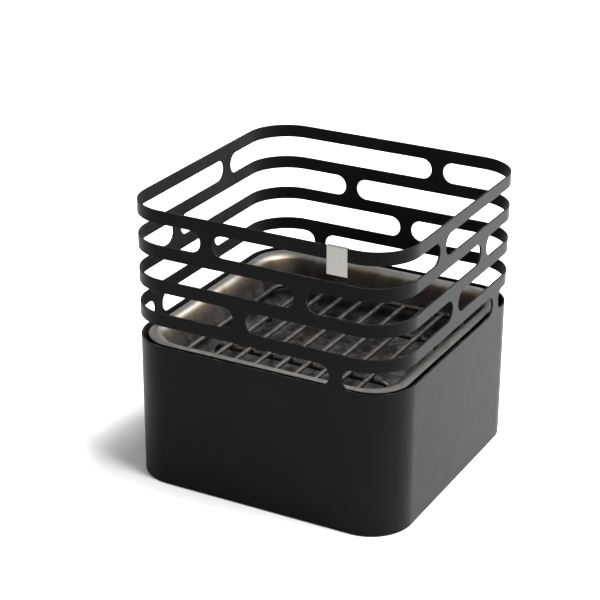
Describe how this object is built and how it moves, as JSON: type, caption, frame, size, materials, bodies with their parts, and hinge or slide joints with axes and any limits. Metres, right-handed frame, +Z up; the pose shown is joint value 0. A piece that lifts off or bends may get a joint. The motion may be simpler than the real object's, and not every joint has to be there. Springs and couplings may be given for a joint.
{
  "type": "fire pit with grate",
  "caption": "Square sheet-steel fire basket: plain lower half, cage of slotted bands above, lift-out stainless fire bowl and a loose rod grate standing in it.",
  "frame": {"origin": "on the ground under the middle of the shell", "axes": "+Z up, -Y out of the front face, which carries the badge, +X to the right as seen from the front"},
  "size_m": [0.43, 0.4311, 0.4266],
  "materials": {
    "coated_steel": "satin black powder coat with a fine texture",
    "stainless_badge": "brushed, blank",
    "stainless_bowl": "brushed, brown heat tint down the wall",
    "grate_steel": "hot-rolled scale, heat stained",
    "glide_rubber": "matte"
  },
  "bodies": {
    "shell": {"shell": "coated_steel", "badge": "stainless_badge", "bowl_ledge_front": "coated_steel", "bowl_ledge_right": "coated_steel", "bowl_ledge_back": "coated_steel", "bowl_ledge_left": "coated_steel", "foot_plate_front_left": "coated_steel", "foot_plate_front_right": "coated_steel", "foot_plate_back_left": "coated_steel", "foot_plate_back_right": "coated_steel", "foot_glide_front_left": "glide_rubber", "foot_glide_front_right": "glide_rubber", "foot_glide_back_left": "glide_rubber", "foot_glide_back_right": "glide_rubber"},
    "bowl": {"bowl": "stainless_bowl"},
    "grate": {"grate_frame": "grate_steel", "grate_bar_1": "grate_steel", "grate_bar_2": "grate_steel", "grate_bar_3": "grate_steel", "grate_bar_4": "grate_steel", "grate_bar_5": "grate_steel", "grate_bar_6": "grate_steel", "grate_bar_7": "grate_steel", "grate_bar_8": "grate_steel", "grate_stretcher_front": "grate_steel", "grate_stretcher_back": "grate_steel"}
  },
  "joints": [
    {"name": "bowl_lift", "type": "slide", "parent": "shell", "child": "bowl", "axis": [0, 0, 1], "range_m": [0, 0.3]},
    {"name": "grate_lift", "type": "slide", "parent": "bowl", "child": "grate", "axis": [0, 0, 1], "range_m": [0, 0.3]}
  ]
}
